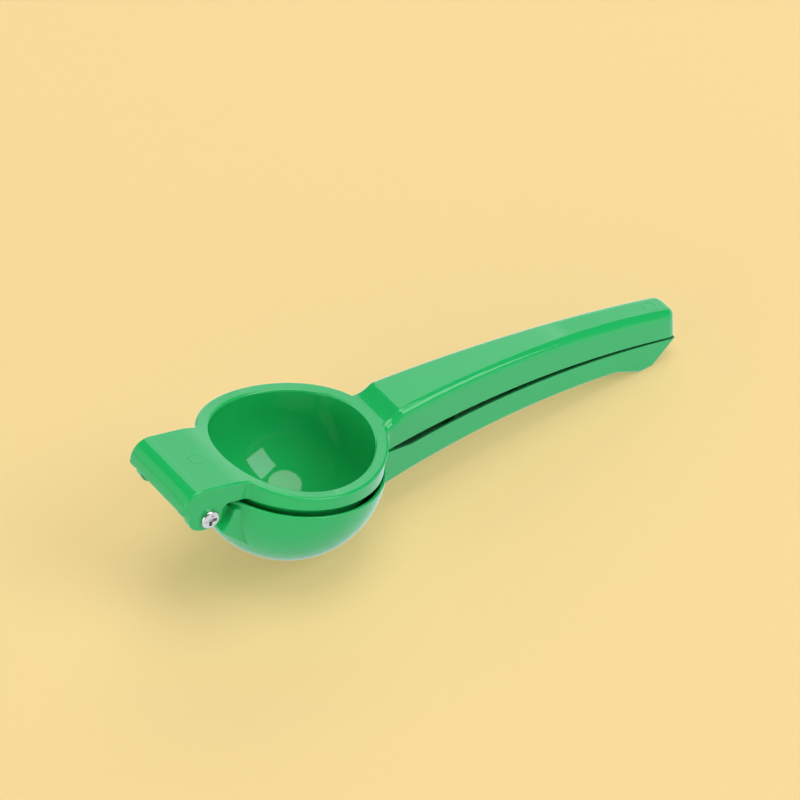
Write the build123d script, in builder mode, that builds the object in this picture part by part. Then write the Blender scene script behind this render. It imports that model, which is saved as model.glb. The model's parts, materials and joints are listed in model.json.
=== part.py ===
from build123d import *
from math import asin, atan2, cos, degrees, hypot, radians, sin, tan
import os

# Hand lemon squeezer with two arms hinged at one end, modelled closed and resting on its
# bowl and on the foot of its lower grip. Millimetres, +Z up, +X from the hinge to the grips.
# Sizes and outlines are measured from the middle of the bowl, along the arms (first number),
# across them, and square to the bowl's rim (last number).

# Press cup and its rim
opening_dia = 55.0
rim_width = 4.4
rim_skirt = 5.2
dish_radius = 133.0
dish_shift = 5.8
dish_margin = 2.3
cup_straight = 2.5
cup_wall = 2.2

# Strainer bowl and its drain holes
bowl_gap = 1.3
bowl_wall = 2.0
bowl_lip = 0.5
lip_edge = 0.4
lip_bevel = 1.1
lip_bevel_depth = 1.8
rim_gap = 1.7
drain_dia = 3.4
drain_spacing = 6.0
drain_rings = 3
drain_count = 6

# Hinge cover with its two ears, on the press arm
pin_offset = 9.3
pin_drop = 1.8
cover_half_width = 16.4
cover_front = 10.7
cover_wall = 2.6
cover_edge = 0.8
crown_radius = 26.0
crease_radius = 2.0
roll_radius = 6.4
ear_wall = 3.2
ear_drop = 4.8
ear_setback = 3.0
ear_step = 1.0
ear_tail = 5.2
ear_front_radius = 5.8
ear_brow_radius = 0.8
ear_nook_radius = 1.0
ear_tail_radius = 4.2
notch_radius = 2.4
apron_clear = 2.8
hood_back_wall = 0.6

# Neck and knuckle, on the strainer arm
neck_drop = 1.9
neck_clear = 9.8
neck_low_angle = 52.0
neck_under_angle = 34.0
neck_bury = 13.0
neck_edge = 0.8
knuckle_radius = 5.4
knuckle_play = 0.4
web_radius = 3.4
web_bury = 0.5
web_drop = 3.4

# Pivot: a headed sleeve from one side and a cross-recessed screw from the other
sleeve_dia = 4.0
sleeve_fit = 0.05
running_fit = 0.08
head_dia = 6.6
head_height = 1.4
head_edge = 0.7
screw_dia = 2.5
screw_fit = 0.05
screw_length = 12.0
cross_width = 1.3
cross_span = 4.2
cross_depth = 1.0

# Grips
grip_end = 151.8
grip_lead = 0.1
grip_lift = 0.4
grip_bury = 3.5
grip_end_height = 17.5
grip_gap = 0.8
grip_arch = 4.1
lower_arch = 3.5
lower_setback = 1.0
grip_root_half = 11.4
grip_end_half = 6.1
grip_straight = 16.5
grip_corner = 4.0
grip_edge = 3.0
grip_wall = 3.6
lower_wall = 0.8
flare_radius = 6.0
flare_bury = 0.1
crest_lead = 4.1
crest_height = 16.5
crest_end_height = 27.7
crest_radius = 3.4
shoulder_rise = 1.1
shoulder_lead = 11.2
shoulder_height = 2.2
under_bury = 4.0
under_drop = 13.9
under_end_height = 7.1
under_arch = 3.1
under_edge = 1.0

# Foot of the lower grip
foot_setback = 10.5
foot_run = 14.3
foot_height = 5.12
foot_flat = 5.5
foot_round = 2.8
foot_hollow = 12.0
foot_lead = 3.5

# Hollows inside the grips
hollow_lead = 4.5
lower_hollow_end = 7.0
rib_thick = 1.6
rib_spacing = 26.0
rib_count = 3
rib_recess = 2.5

# Length by which cutting shapes overrun what they cut
overrun = 5.0

# Least share of a face's direction that lies along the way it is said to look
facing_share = 0.4

# Places worked out from the sizes above
opening_radius = opening_dia / 2
rim_radius = opening_radius + rim_width
rim_base = bowl_lip + rim_gap
rim_low = rim_base + rim_skirt
dish_reach = opening_radius + dish_margin
dome_radius = opening_radius + cup_wall
cup_centre = rim_low - cup_straight
bowl_inside = dome_radius + bowl_gap
bowl_radius = bowl_inside + bowl_wall
pin_reach = rim_radius + pin_offset
pin_at = (-pin_reach, -pin_drop)
front_x = -pin_reach - cover_front
ear_bottom = -pin_drop - ear_drop
apron_low = -pin_drop + apron_clear
ear_tail_x = -pin_reach + ear_tail
grip_root = opening_radius - grip_bury
grip_start = rim_radius + grip_lead
grip_base = rim_base + grip_lift
crest_start = rim_radius + crest_lead
hollow_start = rim_radius + hollow_lead
shoulder = (rim_radius + shoulder_lead, shoulder_height)
blind_end = grip_root - overrun
under_start = bowl_radius - under_bury
foot_top = grip_end_height - grip_gap
foot_reach = grip_end - foot_setback
under_end = foot_reach - foot_run

# The arms rest on the bowl and on the foot, so the bowl's rim leans towards the grips by this
pitch = atan2(foot_height, foot_reach) + asin(bowl_radius / hypot(foot_reach, foot_height))

# Front and back ends of the whole squeezer, measured level from the middle of the bowl
ear_front = front_x + ear_setback
brow_x = front_x + ear_brow_radius
brow_height = apron_low + ear_brow_radius * tan(atan2(ear_setback, ear_step) / 2)
front_end = brow_x * cos(pitch) + brow_height * sin(pitch) - ear_brow_radius
back_end = grip_end * cos(pitch) + crest_end_height * sin(pitch)

# The grips end upright as the squeezer rests, so their lower edges reach further along the arms
grip_tip = grip_end + (crest_end_height - grip_end_height) * tan(pitch)
lower_tip = grip_end + (crest_end_height - foot_top) * tan(pitch) - lower_setback

along = Vector(cos(pitch), 0, -sin(pitch))
upward = Vector(sin(pitch), 0, cos(pitch))
bowl_middle = Vector(-(front_end + back_end) / 2, 0, bowl_radius)
rim_plane = Plane(bowl_middle, x_dir=along, z_dir=upward)
side_plane = Plane(bowl_middle, x_dir=along, z_dir=(0, -1, 0))
bowl_axis = Axis(bowl_middle, upward)
arm_axis = Axis(bowl_middle, along)
pin_middle = side_plane.from_local_coords((*pin_at, 0))
near_ear_plane = Plane(pin_middle, x_dir=along, z_dir=(0, -1, 0)).offset(cover_half_width)
far_ear_plane = Plane(pin_middle, x_dir=along, z_dir=(0, 1, 0)).offset(cover_half_width)
rib_middle = (hollow_start + grip_end - lower_hollow_end) / 2


def dish_slope(x):
    """Slope of the dished rim at a distance along the arm, in radians."""
    return asin((x + dish_shift) / dish_radius)


def dish_height(x):
    """Height of the dished rim at a distance along the arm."""
    return rim_low + dish_radius * (1 - cos(dish_slope(x)))


cover_top = dish_height(-dish_reach) + crown_radius * (1 - cos(dish_slope(-dish_reach)))


def grip_plan(inset, end):
    """Tapered outline of a grip seen from above, drawn in by an inset."""
    taper_end = grip_end - grip_straight
    end_half = grip_end_half - inset
    root_half = grip_root_half - inset
    with BuildSketch() as plan:
        with BuildLine():
            side = Polyline((end, 0), (end, end_half), (taper_end, end_half))
            flare = TangentArc(side @ 1, (grip_root, root_half), tangent=(-1, 0))
            Line(flare @ 1, (grip_root, 0))
            mirror(about=Plane.XZ)
        make_face()
    return plan.sketch


def placed(point):
    """Place along the arm, across it and square to the rim, of a point of the model."""
    return rim_plane.to_local_coords(point)


def border_edges(body, direction):
    """Edges that run round the faces looking in a direction, without those between two of them."""
    faces = body.faces().filter_by(lambda face: face.normal_at().dot(direction) > facing_share)
    seen = [edge for face in faces for edge in face.edges()]
    return ShapeList([edge for edge in seen if seen.count(edge) == 1])


# Press arm, first its grip: outlines from above and from the side, cut by each other
with BuildPart() as press_grip:
    with BuildSketch(rim_plane) as flare_plan:
        add(grip_plan(0, lower_tip + overrun))
        Circle(rim_radius - flare_bury)
        fillet(flare_plan.vertices().sort_by(Axis.X)[:2], flare_radius)
    extrude(amount=crest_end_height + overrun)
    with BuildSketch(side_plane) as press_grip_side:
        with BuildLine():
            base = Line((blind_end, grip_base), (grip_start, grip_base))
            edge = SagittaArc(base @ 1, (grip_tip, grip_end_height), grip_arch)
            back = Line(edge @ 1, (grip_end, crest_end_height))
            crest = SagittaArc(back @ 1, (crest_start, crest_height), -grip_arch)
            slope = dish_slope(dish_reach)
            foot = (dish_reach, dish_height(dish_reach))
            ramp = TangentArc(foot, crest @ 1, tangent=(cos(slope), sin(slope)))
            Polyline(foot, (blind_end, foot[1] - (dish_reach - blind_end) * tan(slope)), base @ 0)
        make_face()
        fillet(press_grip_side.vertices().sort_by_distance((crest_start, crest_height))[0], crest_radius)
    extrude(amount=grip_root_half + overrun, both=True, mode=Mode.INTERSECT)
    fillet(press_grip.edges().filter_by(Axis.Z), grip_corner)
    top_edges = border_edges(press_grip.part, upward)
    fillet([e for e in top_edges if placed(e @ 0.5).X > blind_end + overrun / 2], grip_edge)

# Hollow under the press grip, open below, with cross ribs left standing in it
with BuildPart() as press_hollow:
    with BuildSketch(rim_plane):
        add(grip_plan(grip_wall, grip_end - grip_wall))
    extrude(amount=crest_end_height)
    with BuildSketch(side_plane):
        with BuildLine():
            ceiling = SagittaArc(
                (grip_end, crest_end_height - grip_wall), (crest_start, crest_height - grip_wall), -grip_arch
            )
            Polyline(ceiling @ 1, (crest_start, 0), (grip_end, 0), ceiling @ 0)
        make_face()
        with Locations((hollow_start, 0)):
            Rectangle(grip_end, 2 * crest_end_height, align=(Align.MIN, Align.CENTER), mode=Mode.INTERSECT)
    extrude(amount=grip_root_half, both=True, mode=Mode.INTERSECT)
    with BuildSketch(side_plane):
        with Locations((rib_middle, 0)), GridLocations(rib_spacing, rib_spacing, rib_count, 1):
            Rectangle(rib_thick, 2 * crest_end_height)
        with BuildLine():
            brink = SagittaArc(
                (grip_start, grip_base + rib_recess), (grip_tip, grip_end_height + rib_recess), grip_arch
            )
            Polyline(brink @ 1, (grip_tip, crest_end_height), (grip_start, crest_end_height), brink @ 0)
        make_face(mode=Mode.INTERSECT)
    extrude(amount=grip_root_half, both=True, mode=Mode.SUBTRACT)

# Press arm: rim and hinge cover in one outline, rounded, then the grip, the dome and the hollows
with BuildPart() as press_arm:
    with BuildSketch(rim_plane.offset(ear_bottom)) as cover_plan:
        Circle(rim_radius)
        with Locations((front_x - overrun, 0)):
            Rectangle(overrun - front_x, 2 * cover_half_width, align=(Align.MIN, Align.CENTER))
        fillet(cover_plan.vertices().sort_by(Axis.X)[2:4], crease_radius)
        Circle(opening_radius, mode=Mode.SUBTRACT)
    extrude(amount=crest_end_height - ear_bottom)
    with BuildSketch(side_plane):
        with BuildLine():
            far = rim_radius + overrun
            dish = ThreePointArc(
                (-dish_reach, dish_height(-dish_reach)), (-dish_shift, rim_low), (far, dish_height(far))
            )
            crown = JernArc(dish @ 0, -(dish % 0), crown_radius, degrees(-dish_slope(-dish_reach)))
            ear = FilletPolyline(
                crown @ 1,
                (front_x, cover_top),
                (front_x, apron_low),
                (ear_front, apron_low - ear_step),
                (ear_front, ear_bottom),
                (ear_tail_x, ear_bottom),
                (ear_tail_x, rim_base),
                (far, rim_base),
                radius=(
                    roll_radius,
                    ear_brow_radius,
                    ear_nook_radius,
                    ear_front_radius,
                    ear_tail_radius,
                    notch_radius,
                ),
            )
            Line(ear @ 1, dish @ 1)
        make_face()
    extrude(amount=rim_radius + overrun, both=True, mode=Mode.INTERSECT)
    fillet(border_edges(press_arm.part, upward), cover_edge)
    add(press_grip.part)
    with BuildSketch(side_plane):
        with BuildLine():
            dome = CenterArc((0, cup_centre), dome_radius, 0, -90)
            Polyline(dome @ 1, (0, cup_centre), dome @ 0)
        make_face()
    revolve(axis=bowl_axis)
    with BuildSketch(side_plane):
        with BuildLine():
            cup = CenterArc((0, cup_centre), opening_radius, 0, -90)
            Polyline(cup @ 1, (0, crest_height), (opening_radius, crest_height), cup @ 0)
        make_face()
    revolve(axis=bowl_axis, mode=Mode.SUBTRACT)
    with BuildSketch(side_plane):
        with BuildLine():
            hood_front = front_x + cover_wall
            hood_back = -rim_radius - hood_back_wall
            hood_top = cover_top - cover_wall
            hood = FilletPolyline(
                (front_x, apron_low + 2 * cover_edge),
                (front_x, apron_low),
                (hood_front, apron_low),
                (hood_front, hood_top),
                (hood_back, hood_top),
                (hood_back, ear_bottom - overrun),
                radius=(cover_edge, cover_edge, roll_radius - cover_wall, notch_radius),
            )
            Polyline(
                hood @ 1,
                (front_x - overrun, ear_bottom - overrun),
                (front_x - overrun, apron_low + 2 * cover_edge),
                hood @ 0,
            )
        make_face()
    extrude(amount=cover_half_width - ear_wall, both=True, mode=Mode.SUBTRACT)
    with BuildSketch(side_plane):
        with Locations(pin_at):
            Circle(sleeve_dia / 2 + sleeve_fit)
    extrude(amount=cover_half_width + overrun, both=True, mode=Mode.SUBTRACT)
    add(press_hollow.part, mode=Mode.SUBTRACT)

# Strainer arm, first its grip, with the foot that it rests on
with BuildPart() as strainer_grip:
    with BuildSketch(rim_plane.offset(-under_drop)):
        add(grip_plan(0, lower_tip + overrun))
    extrude(amount=under_drop + grip_end_height)
    with BuildSketch(side_plane):
        with BuildLine():
            top = SagittaArc(shoulder, (lower_tip, foot_top), lower_arch)
            under = SagittaArc((under_start, -under_drop), (under_end, under_end_height), under_arch)
            sole = FilletPolyline(
                under @ 1,
                under @ 1 + (under % 1) * foot_lead,
                (foot_reach, foot_height),
                (foot_reach + foot_flat * cos(pitch), foot_height + foot_flat * sin(pitch)),
                top @ 1,
                radius=(foot_hollow, foot_round, foot_round),
            )
            Polyline(
                under @ 0,
                (grip_root, -under_drop),
                (grip_root, bowl_lip),
                (grip_start, bowl_lip + shoulder_rise),
                top @ 0,
            )
        make_face()
    extrude(amount=grip_root_half + overrun, both=True, mode=Mode.INTERSECT)
    lower_edges = border_edges(strainer_grip.part, -upward)
    fillet([e for e in lower_edges if abs(placed(e @ 0.5).Y) > under_edge], under_edge)

# Hollow in the strainer grip, open above, with cross ribs left standing in it
with BuildPart() as strainer_hollow:
    with BuildSketch(rim_plane.offset(-under_drop)):
        add(grip_plan(lower_wall, grip_end - lower_hollow_end))
    extrude(amount=under_drop + crest_end_height)
    with BuildSketch(side_plane):
        with BuildLine():
            floor = SagittaArc(
                (under_start, grip_wall - under_drop), (under_end, under_end_height + grip_wall), under_arch
            )
            Polyline(
                floor @ 1,
                (grip_end, under_end_height + grip_wall),
                (grip_end, crest_end_height),
                (under_start, crest_end_height),
                floor @ 0,
            )
        make_face()
        with Locations((hollow_start, 0)):
            Rectangle(grip_end, 2 * crest_end_height, align=(Align.MIN, Align.CENTER), mode=Mode.INTERSECT)
    extrude(amount=grip_root_half, both=True, mode=Mode.INTERSECT)
    with BuildSketch(side_plane):
        with Locations((rib_middle, 0)), GridLocations(rib_spacing, rib_spacing, rib_count, 1):
            Rectangle(rib_thick, 2 * crest_end_height)
        with BuildLine():
            brink = SagittaArc(
                (shoulder[0], shoulder_height - rib_recess), (lower_tip, foot_top - rib_recess), lower_arch
            )
            Polyline(brink @ 1, (lower_tip, -under_drop), (shoulder[0], -under_drop), brink @ 0)
        make_face(mode=Mode.INTERSECT)
    extrude(amount=grip_root_half, both=True, mode=Mode.SUBTRACT)

# Neck that carries the hinge, with room round the pin for the ears to turn in
with BuildPart() as neck:
    with BuildSketch(side_plane):
        with BuildLine():
            neck_top = bowl_lip - neck_drop
            top_angle = degrees(asin((neck_top + pin_drop) / neck_clear))
            bay = CenterArc(pin_at, neck_clear, top_angle, -neck_low_angle - top_angle)
            neck_back = neck_bury - bowl_radius
            neck_low = (bay @ 1).Y - (neck_back - (bay @ 1).X) * tan(radians(neck_under_angle))
            Polyline(bay @ 1, (neck_back, neck_low), (neck_back, neck_top), bay @ 0)
        make_face()
    extrude(amount=cover_half_width, both=True)
    fillet(neck.faces().filter_by(Plane.XZ).edges().filter_by(GeomType.LINE), neck_edge)
    fillet(neck.faces().filter_by(Plane.XZ).edges().filter_by(GeomType.CIRCLE), neck_edge)

# Strainer arm: bowl, neck, knuckle and grip, then what is hollow in them
with BuildPart() as strainer_arm:
    with BuildSketch(side_plane) as shell_side:
        with BuildLine():
            shell = CenterArc((0, 0), bowl_radius, -90, 90)
            Polyline(shell @ 1, (bowl_radius, bowl_lip), (0, bowl_lip), shell @ 0)
        make_face()
        fillet(shell_side.vertices().sort_by_distance((bowl_radius, bowl_lip))[0], lip_edge)
    revolve(axis=bowl_axis)
    add(neck.part)
    add(strainer_grip.part)
    with BuildSketch(side_plane) as knuckle_side:
        with Locations(pin_at):
            Circle(knuckle_radius)
        with Locations((web_bury - bowl_radius, -pin_drop - web_drop)):
            Circle(web_radius)
        make_hull(knuckle_side.edges())
    extrude(amount=cover_half_width - ear_wall - knuckle_play, both=True)
    with BuildSketch(side_plane):
        with BuildLine():
            bevel_angle = degrees(asin((lip_bevel_depth - bowl_lip) / bowl_inside))
            inside = CenterArc((0, 0), bowl_inside, -90, 90 - bevel_angle)
            lip_inside = bowl_inside + lip_bevel
            Polyline(inside @ 1, (lip_inside, bowl_lip), (lip_inside, rim_base), (0, rim_base), inside @ 0)
        make_face()
    revolve(axis=bowl_axis, mode=Mode.SUBTRACT)
    with BuildSketch(side_plane):
        with Locations(pin_at):
            Circle(sleeve_dia / 2 + running_fit)
    extrude(amount=cover_half_width, both=True, mode=Mode.SUBTRACT)
    with BuildSketch(rim_plane):
        for ring in range(drain_rings):
            with PolarLocations(ring * drain_spacing, max(1, ring * drain_count)):
                Circle(drain_dia / 2)
    extrude(amount=-bowl_radius - overrun, mode=Mode.SUBTRACT)
    add(strainer_hollow.part, mode=Mode.SUBTRACT)

# Sleeve nut: a headed tube through both ears and the knuckle
with BuildPart() as hinge_sleeve:
    with BuildSketch(far_ear_plane):
        Circle(head_dia / 2)
    extrude(amount=head_height)
    fillet(hinge_sleeve.edges().sort_by(Axis.Y)[-1], head_edge)
    with BuildSketch(far_ear_plane):
        Circle(sleeve_dia / 2)
    extrude(amount=-2 * cover_half_width)
    with BuildSketch(near_ear_plane):
        Circle(screw_dia / 2 + screw_fit)
    extrude(amount=-screw_length - overrun, mode=Mode.SUBTRACT)

# Screw with a cross recess, threaded into the sleeve
with BuildPart() as hinge_screw:
    with BuildSketch(near_ear_plane):
        Circle(head_dia / 2)
    extrude(amount=head_height)
    fillet(hinge_screw.edges().sort_by(Axis.Y)[0], head_edge)
    with BuildSketch(near_ear_plane):
        Circle(screw_dia / 2)
    extrude(amount=-screw_length)
    with BuildSketch(near_ear_plane.offset(head_height)):
        Rectangle(cross_span, cross_width)
        Rectangle(cross_width, cross_span)
    extrude(amount=-cross_depth, mode=Mode.SUBTRACT)

os.makedirs("parts", exist_ok=True)
press_arm.part.label = "press_arm"
export_step(press_arm.part, "parts/press_arm.step")
strainer_arm.part.label = "strainer_arm"
export_step(strainer_arm.part, "parts/strainer_arm.step")
hinge_sleeve.part.label = "hinge_sleeve"
export_step(hinge_sleeve.part, "parts/hinge_sleeve.step")
hinge_screw.part.label = "hinge_screw"
export_step(hinge_screw.part, "parts/hinge_screw.step")
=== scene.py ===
"""Looks of a hand lemon squeezer: green mouldings, a plated pivot, floor, lamps and camera."""

import json
import logging
from collections.abc import Mapping
from dataclasses import dataclass, field, replace
from enum import Enum
from math import cos, pi, radians, sin
from typing import Any, Union

import bpy
import numpy as np
from mathutils import Matrix, Vector


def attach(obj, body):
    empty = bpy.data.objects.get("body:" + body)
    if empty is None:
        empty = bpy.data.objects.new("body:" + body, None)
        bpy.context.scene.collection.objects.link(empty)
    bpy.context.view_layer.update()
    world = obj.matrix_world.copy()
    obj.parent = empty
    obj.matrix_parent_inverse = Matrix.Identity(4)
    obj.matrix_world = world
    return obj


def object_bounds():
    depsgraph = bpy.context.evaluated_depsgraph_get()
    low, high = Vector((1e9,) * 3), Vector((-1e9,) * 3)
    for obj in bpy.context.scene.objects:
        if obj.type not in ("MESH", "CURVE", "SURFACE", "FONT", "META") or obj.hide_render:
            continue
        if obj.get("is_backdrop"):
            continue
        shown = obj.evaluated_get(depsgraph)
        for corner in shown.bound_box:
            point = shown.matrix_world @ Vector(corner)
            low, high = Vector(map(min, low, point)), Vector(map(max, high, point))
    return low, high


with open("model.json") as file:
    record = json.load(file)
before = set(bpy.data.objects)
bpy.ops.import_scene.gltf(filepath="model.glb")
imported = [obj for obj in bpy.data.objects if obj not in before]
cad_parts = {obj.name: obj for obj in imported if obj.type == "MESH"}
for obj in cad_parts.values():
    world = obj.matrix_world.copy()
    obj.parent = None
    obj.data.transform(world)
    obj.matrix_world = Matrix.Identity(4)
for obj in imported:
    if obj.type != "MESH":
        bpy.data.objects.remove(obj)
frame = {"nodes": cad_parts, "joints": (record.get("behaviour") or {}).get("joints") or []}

LOG = logging.getLogger("lemon_squeezer")

MM = 0.001
PRESS_BODY = "press"
MIX_ENDS = (6, 7)  # colour inputs of a Mix node, by number
MIX_RESULT = 2  # colour output of a Mix node
NOISE_MIDDLE = 0.5
PLASTIC_IOR = 1.5
SENSOR_WIDTH_MM = 36.0
FULL_TURN = 2 * pi
WHITE = (1.0, 1.0, 1.0)
COOL = (0.97, 1.0, 1.15)

Rgb = tuple[float, float, float]
Point = tuple[float, float, float]
Span = tuple[float, float]
Operand = Union["Wire", float]


class LampShape(Enum):
    """Outlines that a softbox can have."""

    ROUND = "DISK"
    RECTANGULAR = "RECTANGLE"


class Wire:
    """An output socket that joins in arithmetic, each step being one Math node."""

    def __init__(self, graph: "Graph", socket: bpy.types.NodeSocket | None) -> None:
        """Keeps the socket and the graph it belongs to."""
        self.graph = graph
        self.socket = socket

    def _math(self, operation: str, first: Operand, second: Operand = 0.0) -> "Wire":
        """Result of one Math node with the named operation on two values."""
        return self.graph.add("ShaderNodeMath", {"operation": operation}, {0: first, 1: second})

    def __add__(self, other: Operand) -> "Wire":
        """Sum of two values."""
        return self._math("ADD", self, other)

    __radd__ = __add__

    def __sub__(self, other: Operand) -> "Wire":
        """Difference of two values."""
        return self._math("SUBTRACT", self, other)

    def __rsub__(self, other: Operand) -> "Wire":
        """Difference with this value taken away from a number."""
        return self._math("SUBTRACT", other, self)

    def __mul__(self, other: Operand) -> "Wire":
        """Product of two values."""
        return self._math("MULTIPLY", self, other)

    __rmul__ = __mul__

    def above(self, limit: float) -> "Wire":
        """1 where the value is over a limit, otherwise 0."""
        return self._math("GREATER_THAN", self, limit)

    def either(self, other: "Wire") -> "Wire":
        """The larger of two values, which joins two masks."""
        return self._math("MAXIMUM", self, other)

    def sine(self) -> "Wire":
        """Sine of a value in radians."""
        return self._math("SINE", self)

    def length_with(self, other: "Wire") -> "Wire":
        """Length of the flat vector that this value and another make."""
        return self._math("SQRT", self * self + other * other)


class Graph:
    """A node tree, emptied, that nodes are added to in one way."""

    def __init__(self, tree: bpy.types.NodeTree) -> None:
        """Takes over a node tree and clears it."""
        self.tree = tree
        tree.nodes.clear()

    def add(
        self,
        kind: str,
        settings: Mapping[str, Any] | None = None,
        sockets: Mapping[str | int, Any] | None = None,
        output: str | int = 0,
    ) -> Wire:
        """Adds a node, with its settings made before its sockets are filled.

        Args:
            kind: Type name of the node.
            settings: Attributes of the node, such as a Math node's operation.
            sockets: Values or wires for the node's inputs, by name or number.
            output: Name or number of the output that is given back.

        Returns:
            The chosen output of the new node, or an empty wire where it has none.
        """
        node = self.tree.nodes.new(kind)
        for name, value in (settings or {}).items():
            setattr(node, name, value)
        for key, value in (sockets or {}).items():
            if isinstance(value, Wire):
                self.tree.links.new(value.socket, node.inputs[key])
            else:
                node.inputs[key].default_value = value
        return Wire(self, node.outputs[output] if node.outputs else None)

    def part(self, vector: Wire, axis: str) -> Wire:
        """One of the parts X, Y or Z of a vector."""
        return self.add("ShaderNodeSeparateXYZ", sockets={"Vector": vector}, output=axis)

    def place(self) -> Wire:
        """Place of a point of the surface in the squeezer's own frame, in metres."""
        return self.add("ShaderNodeTexCoord", output="Object")

    def noise(self, place: Wire, size: float, detail: float = 2.0) -> Wire:
        """Soft random clouds about one half, of a size in metres, with layers of finer detail."""
        sockets = {"Vector": place, "Scale": 1.0 / size, "Detail": detail}
        return self.add("ShaderNodeTexNoise", sockets=sockets, output="Fac")

    def fade(self, value: Wire, limits: Span) -> Wire:
        """Soft step of a value.

        Args:
            value: Value that is followed.
            limits: Where the step begins and where it ends.

        Returns:
            0 before the first limit, 1 past the second one.
        """
        settings = {"interpolation_type": "SMOOTHSTEP"}
        sockets = {"Value": value, "From Min": limits[0], "From Max": limits[1]}
        return self.add("ShaderNodeMapRange", settings, sockets, output="Result")

    def blend(self, first: Rgb | Wire, second: Rgb | Wire, factor: Wire) -> Wire:
        """Mixes two colours.

        Args:
            first: Colour where the factor is 0.
            second: Colour where the factor is 1.
            factor: Share of the second colour.

        Returns:
            The mixed colour.
        """
        ends = {
            key: end if isinstance(end, Wire) else (*end, 1.0)
            for key, end in zip(MIX_ENDS, (first, second))
        }
        settings = {"data_type": "RGBA"}
        return self.add("ShaderNodeMix", settings, {0: factor, **ends}, output=MIX_RESULT)

    def bump(self, height: Wire, depth: float) -> Wire:
        """Normal of a surface with a relief, from 0 to 1, of a real depth in metres."""
        sockets = {"Height": height, "Distance": depth, "Strength": 1.0}
        return self.add("ShaderNodeBump", sockets=sockets)

    def close(self, shader: Wire) -> None:
        """Sends a shader to the surface output.

        Args:
            shader: Shader of the material or of the world.
        """
        is_world = isinstance(self.tree.id_data, bpy.types.World)
        kind = "ShaderNodeOutputWorld" if is_world else "ShaderNodeOutputMaterial"
        self.add(kind, sockets={"Surface": shader})

    def light_path(self, question: str) -> Wire:
        """1 for the kind of ray that a Light Path output names, otherwise 0."""
        return self.add("ShaderNodeLightPath", output=question)


def shaded(colour: Rgb, share: float) -> Rgb:
    """A colour with each channel multiplied by a share."""
    red, green, blue = colour
    return (red * share, green * share, blue * share)


def new_graph(name: str) -> tuple[bpy.types.Material, Graph]:
    """Starts a material.

    Args:
        name: Name of the material.

    Returns:
        The material and its empty graph.
    """
    material = bpy.data.materials.new(name)
    material.use_nodes = True
    return material, Graph(material.node_tree)


@dataclass(frozen=True)
class MouldedPlastic:
    """Dyed plastic from a polished mould.

    The dye has slow clouds, the gloss a haze and the surface a faint ripple. The hollow of the grip
    comes from an unpolished core, so it is matt; its colour is darkened there as painted shade.
    """

    name: str
    colour: Rgb
    cloud_share: float
    cloud_size: float
    gloss_roughness: float
    haze: float
    haze_size: float
    haze_detail: float
    ripple_size: float
    ripple_detail: float
    ripple_depth: float
    hollow_painted_shade: float
    core_roughness: float
    core_start: float
    core_opening: float
    inward_limit: float
    opening_limit: float
    rib_limit: float
    rib_span: Span

    def core(self, graph: Graph, place: Wire) -> Wire:
        """Finds the faces of the grip's hollow.

        These lie beyond the rim and look at the squeezer's middle plane, or out of the hollow's
        open side, or along the grip where its ribs are.

        Args:
            graph: Graph of the material.
            place: Place of a point of the surface.

        Returns:
            A mask that is 1 in the hollow, which is made matt and darkened with painted shade.
        """
        facing = graph.add("ShaderNodeTexCoord", output="Normal")
        along, lengthwise = graph.part(place, "X"), graph.part(facing, "X")
        outward = graph.part(facing, "Y") * graph.part(place, "Y")
        inward = (-1.0 * outward).above(self.inward_limit)
        opening = (self.core_opening * graph.part(facing, "Z")).above(self.opening_limit)
        first, last = self.rib_span
        ribbed = along.above(first) * (1.0 - along.above(last))
        ribs = (lengthwise * lengthwise).above(self.rib_limit) * ribbed
        return inward.either(opening).either(ribs) * along.above(self.core_start)

    def material(self) -> bpy.types.Material:
        """Builds the finish.

        Returns:
            A material for the green mouldings.
        """
        material, graph = new_graph(self.name)
        place = graph.place()
        clouds = graph.noise(place, self.cloud_size)
        dark = shaded(self.colour, 1 - self.cloud_share)
        light = shaded(self.colour, 1 + self.cloud_share)
        dye = graph.blend(dark, light, clouds)
        haze = graph.noise(place, self.haze_size, self.haze_detail)
        ripple = graph.noise(place, self.ripple_size, self.ripple_detail)
        core = self.core(graph, place)
        gloss = self.gloss_roughness + self.haze * (haze - NOISE_MIDDLE)
        sockets = {
            # painted shade: the base colour is darkened in the grip's hollow, standing in for its
            # shadow
            "Base Color": graph.blend(dye, shaded(self.colour, self.hollow_painted_shade), core),
            "Roughness": gloss + (self.core_roughness - self.gloss_roughness) * core,
            "Normal": graph.bump(ripple, self.ripple_depth),
            "IOR": PLASTIC_IOR,
        }
        graph.close(graph.add("ShaderNodeBsdfPrincipled", sockets=sockets))
        return material


@dataclass(frozen=True)
class PlatedSteel:
    """Bright plated steel with fine turning rings about the pin and a little wear in the gloss."""

    name: str
    colour: Rgb
    tarnish: Rgb
    gloss_roughness: float
    wear: float
    wear_size: float
    wear_detail: float
    ring_pitch: float
    ring_depth: float
    pin: Point

    def material(self) -> bpy.types.Material:
        """Builds the finish.

        Returns:
            A material for the sleeve and the screw.
        """
        material, graph = new_graph(self.name)
        place = graph.place()
        beside = graph.part(place, "X") - self.pin[0]
        above = graph.part(place, "Z") - self.pin[2]
        rings = (beside.length_with(above) * (FULL_TURN / self.ring_pitch)).sine()
        relief = 0.5 + 0.5 * rings  # rings run from -1 to 1, a relief from 0 to 1
        wear = graph.noise(place, self.wear_size, self.wear_detail)
        sockets = {
            "Base Color": graph.blend(self.colour, self.tarnish, wear),
            "Roughness": self.gloss_roughness + self.wear * (wear - NOISE_MIDDLE),
            "Normal": graph.bump(relief, self.ring_depth),
            "Metallic": 1.0,
        }
        graph.close(graph.add("ShaderNodeBsdfPrincipled", sockets=sockets))
        return material


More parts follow.
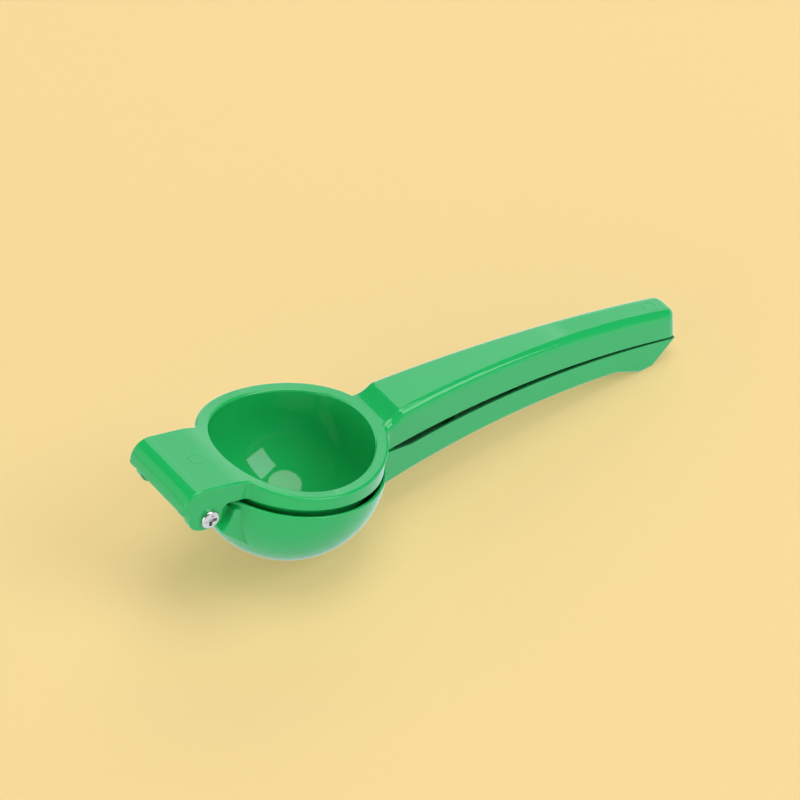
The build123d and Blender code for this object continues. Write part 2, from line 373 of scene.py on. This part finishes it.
@dataclass(frozen=True)
class FloorPaper:
    """Matt paper: coloured to the eye, paler in reflections, neutral in the light it throws back.

    Its glow in reflections is a painted reflection, weaker under the bowl than along the grip.
    """

    name: str
    colour: Rgb
    bounced: Rgb
    reflection_glow: Rgb
    fibre_share: float
    fibre_size: float
    fibre_detail: float
    glow: float
    grip_painted_reflection: float
    bowl_painted_reflection: float
    painted_reflection_span: Span

    def material(self) -> bpy.types.Material:
        """Builds the finish.

        Returns:
            A material for the floor, whose own glow keeps the shadows on it light.
        """
        material, graph = new_graph(self.name)
        place = graph.place()
        fibre = graph.noise(place, self.fibre_size, self.fibre_detail)
        deep = shaded(self.colour, 1 - self.fibre_share)
        pale = shaded(self.colour, 1 + self.fibre_share)
        paper = graph.blend(deep, pale, fibre)
        glossy = graph.light_path("Is Glossy Ray")
        seen = graph.light_path("Is Camera Ray") + graph.light_path("Is Transmission Ray")
        tone = graph.blend(self.bounced, paper, seen)
        matt = graph.add("ShaderNodeBsdfDiffuse", sockets={"Color": tone})
        # painted reflection: glossy rays see the floor glow brighter and bluer than the paper
        shine = graph.blend(paper, self.reflection_glow, glossy)
        lit = graph.add("ShaderNodeEmission", sockets={"Color": shine})
        # the painted reflection is weaker under the bowl than along the grip
        grip = graph.fade(graph.part(place, "X"), self.painted_reflection_span)
        painted_reflection = self.bowl_painted_reflection + (self.grip_painted_reflection - self.bowl_painted_reflection) * grip
        share = self.glow * seen + painted_reflection * glossy
        graph.close(graph.add("ShaderNodeMixShader", sockets={0: share, 1: matt, 2: lit}))
        return material


@dataclass(frozen=True)
class Palette:
    """The finished materials, each made once."""

    press_plastic: bpy.types.Material
    strainer_plastic: bpy.types.Material
    steel: bpy.types.Material
    paper: bpy.types.Material


def dress(node: str, material: bpy.types.Material) -> None:
    """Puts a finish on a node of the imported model.

    Args:
        node: Name of the node.
        material: Finish for all of its faces.
    """
    mesh = frame["nodes"][node].data
    mesh.materials.clear()
    mesh.materials.append(material)
    mesh.polygons.foreach_set("material_index", np.zeros(len(mesh.polygons), dtype=np.int32))
    LOG.info("%s: %s", node, material.name)


def closed_surface(
    name: str, points: np.ndarray, material: bpy.types.Material
) -> bpy.types.Object:
    """Makes a smooth piece from a grid of points that closes on itself in both directions.

    Each cell of the grid becomes one quad, and the last row and column join the first ones.

    Args:
        name: Name of the piece.
        points: Grid of places, in metres, rows by columns by three.
        material: Finish of the piece.

    Returns:
        The new object, at the origin.
    """
    rows, columns = points.shape[:2]
    index = np.arange(rows * columns).reshape(rows, columns)
    ahead, beside = np.roll(index, -1, axis=0), np.roll(index, -1, axis=1)
    opposite = np.roll(ahead, -1, axis=1)
    quads = np.stack([index, ahead, opposite, beside], axis=-1).reshape(-1, 4)
    mesh = bpy.data.meshes.new(name)
    mesh.from_pydata(points.reshape(-1, 3).tolist(), [], quads.tolist())
    mesh.polygons.foreach_set("use_smooth", np.ones(len(mesh.polygons), dtype=bool))
    mesh.materials.append(material)
    piece = bpy.data.objects.new(name, mesh)
    bpy.context.scene.collection.objects.link(piece)
    return piece


@dataclass
class MouldMark:
    """A plain raised ring left by the mould on the top of the press arm."""

    name: str
    along_arm: float
    drop_height: float = 80 * MM
    radius: float = 2.4 * MM
    half_width: float = 0.35 * MM
    height: float = 0.09 * MM
    turns: int = 96
    section: int = 16

    def seat(self) -> tuple[Vector, Vector]:
        """Drops the mark on the press arm from a point over its middle line.

        Returns:
            The place on the arm's top below that point and the direction that it faces.
        """
        arm = frame["nodes"]["press_arm"]
        start = Vector((self.along_arm, 0.0, self.drop_height))
        found, place, facing, _ = arm.ray_cast(start, Vector((0, 0, -1)))
        if not found:
            raise ValueError(f"{self.name} isn't above the press arm")
        return place, facing

    def build(self, palette: Palette) -> bpy.types.Object:
        """Builds the ring.

        The ring is an ellipse carried round a circle: its long half axis lies in the surface, its
        short one stands up from it, so the lower half is sunk in the plastic.

        Args:
            palette: Finishes to choose from.

        Returns:
            The ring, riding on the press.
        """
        place, facing = self.seat()
        along = Vector((0, 1, 0)).cross(facing).normalized()
        across = facing.cross(along)
        middle, first, second, up = (np.array(v) for v in (place, along, across, facing))
        turn = np.linspace(0, FULL_TURN, self.turns, endpoint=False)[:, None, None]
        lean = np.linspace(0, FULL_TURN, self.section, endpoint=False)[None, :, None]
        reach = self.radius + self.half_width * np.cos(lean)
        flat = reach * (np.cos(turn) * first + np.sin(turn) * second)
        points = middle + flat + self.height * np.sin(lean) * up
        ring = closed_surface(self.name, points, palette.press_plastic)
        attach(ring, PRESS_BODY)
        LOG.info("%s: ring of radius %.1f mm", self.name, self.radius / MM)
        return ring


@dataclass
class PressArm:
    """Upper arm with the press cup, the hinge cover and two mould marks."""

    node: str = "press_arm"
    marks: tuple[MouldMark, ...] = (
        MouldMark(name="hinge_mark", along_arm=-85.7 * MM),
        MouldMark(name="grip_mark", along_arm=94.6 * MM),
    )

    def build(self, palette: Palette) -> None:
        """Dresses the moulding and adds its marks.

        Args:
            palette: Finishes to choose from.
        """
        dress(self.node, palette.press_plastic)
        for mark in self.marks:
            mark.build(palette)


@dataclass
class StrainerArm:
    """Lower arm with the drained bowl and the foot."""

    node: str = "strainer_arm"

    def build(self, palette: Palette) -> None:
        """Dresses the moulding."""
        dress(self.node, palette.strainer_plastic)


@dataclass
class Pivot:
    """Headed sleeve and the screw that closes it."""

    nodes: tuple[str, ...] = ("hinge_sleeve", "hinge_screw")

    def build(self, palette: Palette) -> None:
        """Dresses both pieces of the pivot."""
        for node in self.nodes:
            dress(node, palette.steel)


@dataclass(frozen=True)
class Softbox:
    """A lit panel that lights the squeezer and shows in its gloss, in metres and degrees."""

    name: str
    shape: LampShape
    azimuth: float
    elevation: float
    size: Span
    radiance: float
    distance: float = 3.0
    turn: float = 0.0
    colour: Rgb = WHITE

    def build(self, aim: Vector) -> bpy.types.Object:
        """Hangs the panel and turns it to a point.

        The power of an even panel is its radiance times its area times pi.

        Args:
            aim: Point that the panel faces.

        Returns:
            The lamp.
        """
        level, rise = radians(self.azimuth), radians(self.elevation)
        away = Vector((cos(rise) * cos(level), cos(rise) * sin(level), sin(rise)))
        lamp = bpy.data.lights.new(self.name, "AREA")
        lamp.shape = self.shape.value
        width, height = self.size
        lamp.size = width
        area = width * height
        if self.shape is LampShape.RECTANGULAR:
            lamp.size_y = height
        else:
            area *= pi / 4
        lamp.energy = self.radiance * pi * area
        lamp.color = self.colour
        panel = bpy.data.objects.new(self.name, lamp)
        facing = away.to_track_quat("Z", "Y").to_matrix().to_4x4()
        turned = facing @ Matrix.Rotation(radians(self.turn), 4, "Z")
        panel.matrix_world = Matrix.Translation(aim + away * self.distance) @ turned
        bpy.context.scene.collection.objects.link(panel)
        LOG.info("%s: %.0f W", self.name, lamp.energy)
        return panel


@dataclass(frozen=True)
class Surroundings:
    """Room round the floor: bright on one side, dim elsewhere, a plain backdrop to the camera.

    The walls fade to the bright side over `facing` and to the ceiling over `rise`, both as parts of
    the direction. Reflections show only the share `mirrored` of the bright side.
    """

    backdrop: Rgb
    bright: Rgb
    dim: Rgb
    overhead: Rgb
    bright_azimuth: float
    facing: Span
    rise: Span
    mirrored: float

    def build(self) -> None:
        """Makes the world that the scene stands in and makes it the scene's own."""
        world = bpy.data.worlds.new("surroundings")
        world.use_nodes = True
        bpy.context.scene.world = world
        graph = Graph(world.node_tree)
        direction = graph.add("ShaderNodeTexCoord", output="Generated")
        rise = graph.part(direction, "Z")
        level = radians(self.bright_azimuth)
        ends = {0: direction, 1: (cos(level), sin(level), 0.0)}
        settings = {"operation": "DOT_PRODUCT"}
        towards = graph.add("ShaderNodeVectorMath", settings, ends, output="Value")
        shown = 1.0 - (1.0 - self.mirrored) * graph.light_path("Is Glossy Ray")
        walls = graph.blend(self.dim, self.bright, shown * graph.fade(towards, self.facing))
        room = graph.blend(walls, self.overhead, graph.fade(rise, self.rise))
        colour = graph.blend(room, self.backdrop, graph.light_path("Is Camera Ray"))
        graph.close(graph.add("ShaderNodeBackground", sockets={"Color": colour}))


@dataclass(frozen=True)
class Viewpoint:
    """Camera at the place that the photograph was taken from."""

    place: Point
    forward: Point
    rightward: Point
    lens: float

    def build(self) -> bpy.types.Object:
        """Sets the camera up.

        Returns:
            The scene's camera.
        """
        data = bpy.data.cameras.new("viewpoint")
        data.lens = self.lens
        data.sensor_width = SENSOR_WIDTH_MM
        camera = bpy.data.objects.new("viewpoint", data)
        back = -Vector(self.forward).normalized()
        right = Vector(self.rightward).normalized()
        turned = Matrix((right, back.cross(right), back)).transposed().to_4x4()
        camera.matrix_world = Matrix.Translation(Vector(self.place)) @ turned
        bpy.context.scene.collection.objects.link(camera)
        bpy.context.scene.camera = camera
        return camera


@dataclass
class Studio:
    """Floor, lamps, room and camera, in metres and degrees."""

    floor_half: float = 6.0
    floor_cells: int = 8
    aim: Point = (-0.03, 0.0, 0.03)
    lamps: tuple[Softbox, ...] = (
        Softbox(
            name="top_softbox",
            shape=LampShape.ROUND,
            azimuth=0.0,
            elevation=79.0,
            size=(2.28, 2.28),
            radiance=3.35,
        ),
        Softbox(
            name="side_softbox",
            shape=LampShape.RECTANGULAR,
            azimuth=-54.0,
            elevation=43.4,
            size=(1.66, 1.66),
            radiance=3.4,
            turn=-13.5,
            colour=COOL,
        ),
        Softbox(
            name="low_panel",
            shape=LampShape.RECTANGULAR,
            azimuth=47.0,
            elevation=13.0,
            size=(2.3, 1.5),
            radiance=1.08,
            colour=COOL,
        ),
        Softbox(
            name="high_panel",
            shape=LampShape.RECTANGULAR,
            azimuth=54.0,
            elevation=39.0,
            size=(2.2, 1.3),
            radiance=1.5,
            colour=COOL,
        ),
        Softbox(
            name="left_panel",
            shape=LampShape.RECTANGULAR,
            azimuth=186.0,
            elevation=16.0,
            size=(2.2, 1.5),
            radiance=2.7,
        ),
        Softbox(
            name="far_panel",
            shape=LampShape.RECTANGULAR,
            azimuth=140.0,
            elevation=21.0,
            size=(3.0, 1.8),
            radiance=0.62,
        ),
    )
    room: Surroundings = Surroundings(
        backdrop=(0.939, 0.716, 0.328),
        bright=(1.82, 1.82, 1.82),
        dim=(0.3, 0.3, 0.3),
        overhead=(0.06, 0.06, 0.06),
        bright_azimuth=-110.0,
        facing=(0.05, 0.45),
        rise=(0.12, 0.5),
        mirrored=0.1,
    )
    viewpoint: Viewpoint = Viewpoint(
        place=(-0.708618, -1.136885, 1.266494),
        forward=(0.38597419, 0.62565812, -0.67792023),
        rightward=(0.82657549, -0.56085915, -0.04701035),
        lens=247.5,
    )

    def build_floor(self, palette: Palette) -> bpy.types.Object:
        """Lays the floor as a flat square grid that the bowl and the foot stand on.

        Args:
            palette: Finishes to choose from.

        Returns:
            The floor, marked as stage.
        """
        steps = np.linspace(-self.floor_half, self.floor_half, self.floor_cells + 1)
        x, y = np.meshgrid(steps, steps, indexing="ij")
        points = np.stack([x, y, np.zeros_like(x)], axis=-1).reshape(-1, 3)
        index = np.arange(len(points)).reshape(x.shape)
        corners = (index[:-1, :-1], index[1:, :-1], index[1:, 1:], index[:-1, 1:])
        mesh = bpy.data.meshes.new("floor")
        mesh.from_pydata(points.tolist(), [], np.stack(corners, axis=-1).reshape(-1, 4).tolist())
        mesh.materials.append(palette.paper)
        floor = bpy.data.objects.new("floor", mesh)
        bpy.context.scene.collection.objects.link(floor)
        floor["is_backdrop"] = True
        return floor

    def build(self, palette: Palette) -> None:
        """Builds everything round the squeezer.

        Args:
            palette: Finishes to choose from.
        """
        bpy.context.scene.view_settings.view_transform = "Standard"
        self.build_floor(palette)
        for lamp in self.lamps:
            lamp.build(Vector(self.aim))
        self.room.build()
        self.viewpoint.build()


@dataclass
class LemonSqueezer:
    """The whole squeezer, dressed piece by piece."""

    press_arm: PressArm = field(default_factory=PressArm)
    strainer_arm: StrainerArm = field(default_factory=StrainerArm)
    pivot: Pivot = field(default_factory=Pivot)

    def build(self, palette: Palette) -> None:
        """Dresses the two arms and the pivot.

        Args:
            palette: Finishes to choose from.
        """
        self.press_arm.build(palette)
        self.strainer_arm.build(palette)
        self.pivot.build(palette)


def make_palette() -> Palette:
    """Makes each finish once.

    Returns:
        The finished materials.
    """
    press_plastic = MouldedPlastic(
        name="gloss_green_plastic",
        colour=(0.013, 0.483, 0.11),
        cloud_share=0.02,
        cloud_size=40 * MM,
        gloss_roughness=0.07,
        haze=0.03,
        haze_size=9 * MM,
        haze_detail=4.0,
        ripple_size=7 * MM,
        ripple_detail=1.0,
        ripple_depth=0.012 * MM,
        # share of the colour left in the grip's hollow, a painted shade
        hollow_painted_shade=0.55,
        core_roughness=0.6,
        core_start=-17 * MM,
        core_opening=-1.0,
        inward_limit=1 * MM,
        opening_limit=0.7,
        rib_limit=0.5,
        rib_span=(0.0, 75 * MM),
    )
    strainer_plastic = replace(
        press_plastic, name="gloss_green_plastic_strainer", core_opening=1.0
    )
    steel = PlatedSteel(
        name="plated_steel",
        colour=(0.78, 0.77, 0.74),
        tarnish=(0.62, 0.61, 0.58),
        gloss_roughness=0.24,
        wear=0.12,
        wear_size=1.5 * MM,
        wear_detail=3.0,
        ring_pitch=0.35 * MM,
        ring_depth=0.002 * MM,
        pin=tuple(frame["joints"][0]["pos_m"]),
    )
    paper = FloorPaper(
        name="floor_paper",
        colour=(0.956, 0.724, 0.327),
        bounced=(0.6, 0.6, 0.59),
        # colour of the glow that glossy rays see on the floor, a painted reflection
        reflection_glow=(1.45, 1.55, 1.75),
        fibre_share=0.006,
        fibre_size=4 * MM,
        fibre_detail=3.0,
        glow=0.38,
        # strength of that painted reflection along the grip and under the bowl
        grip_painted_reflection=0.6,
        bowl_painted_reflection=0.36,
        painted_reflection_span=(-60 * MM, 0.0),
    )
    finishes = (press_plastic, strainer_plastic, steel, paper)
    return Palette(*(finish.material() for finish in finishes))


def corners() -> list[list[float]]:
    """Lowest and highest corner of the shown squeezer, as plain lists."""
    return [list(corner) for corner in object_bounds()]


def main() -> None:
    """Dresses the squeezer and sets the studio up."""
    logging.basicConfig(level=logging.INFO, format="%(message)s")
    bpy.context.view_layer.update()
    palette = make_palette()
    LemonSqueezer().build(palette)
    Studio().build(palette)


if __name__ == "__main__":
    main()
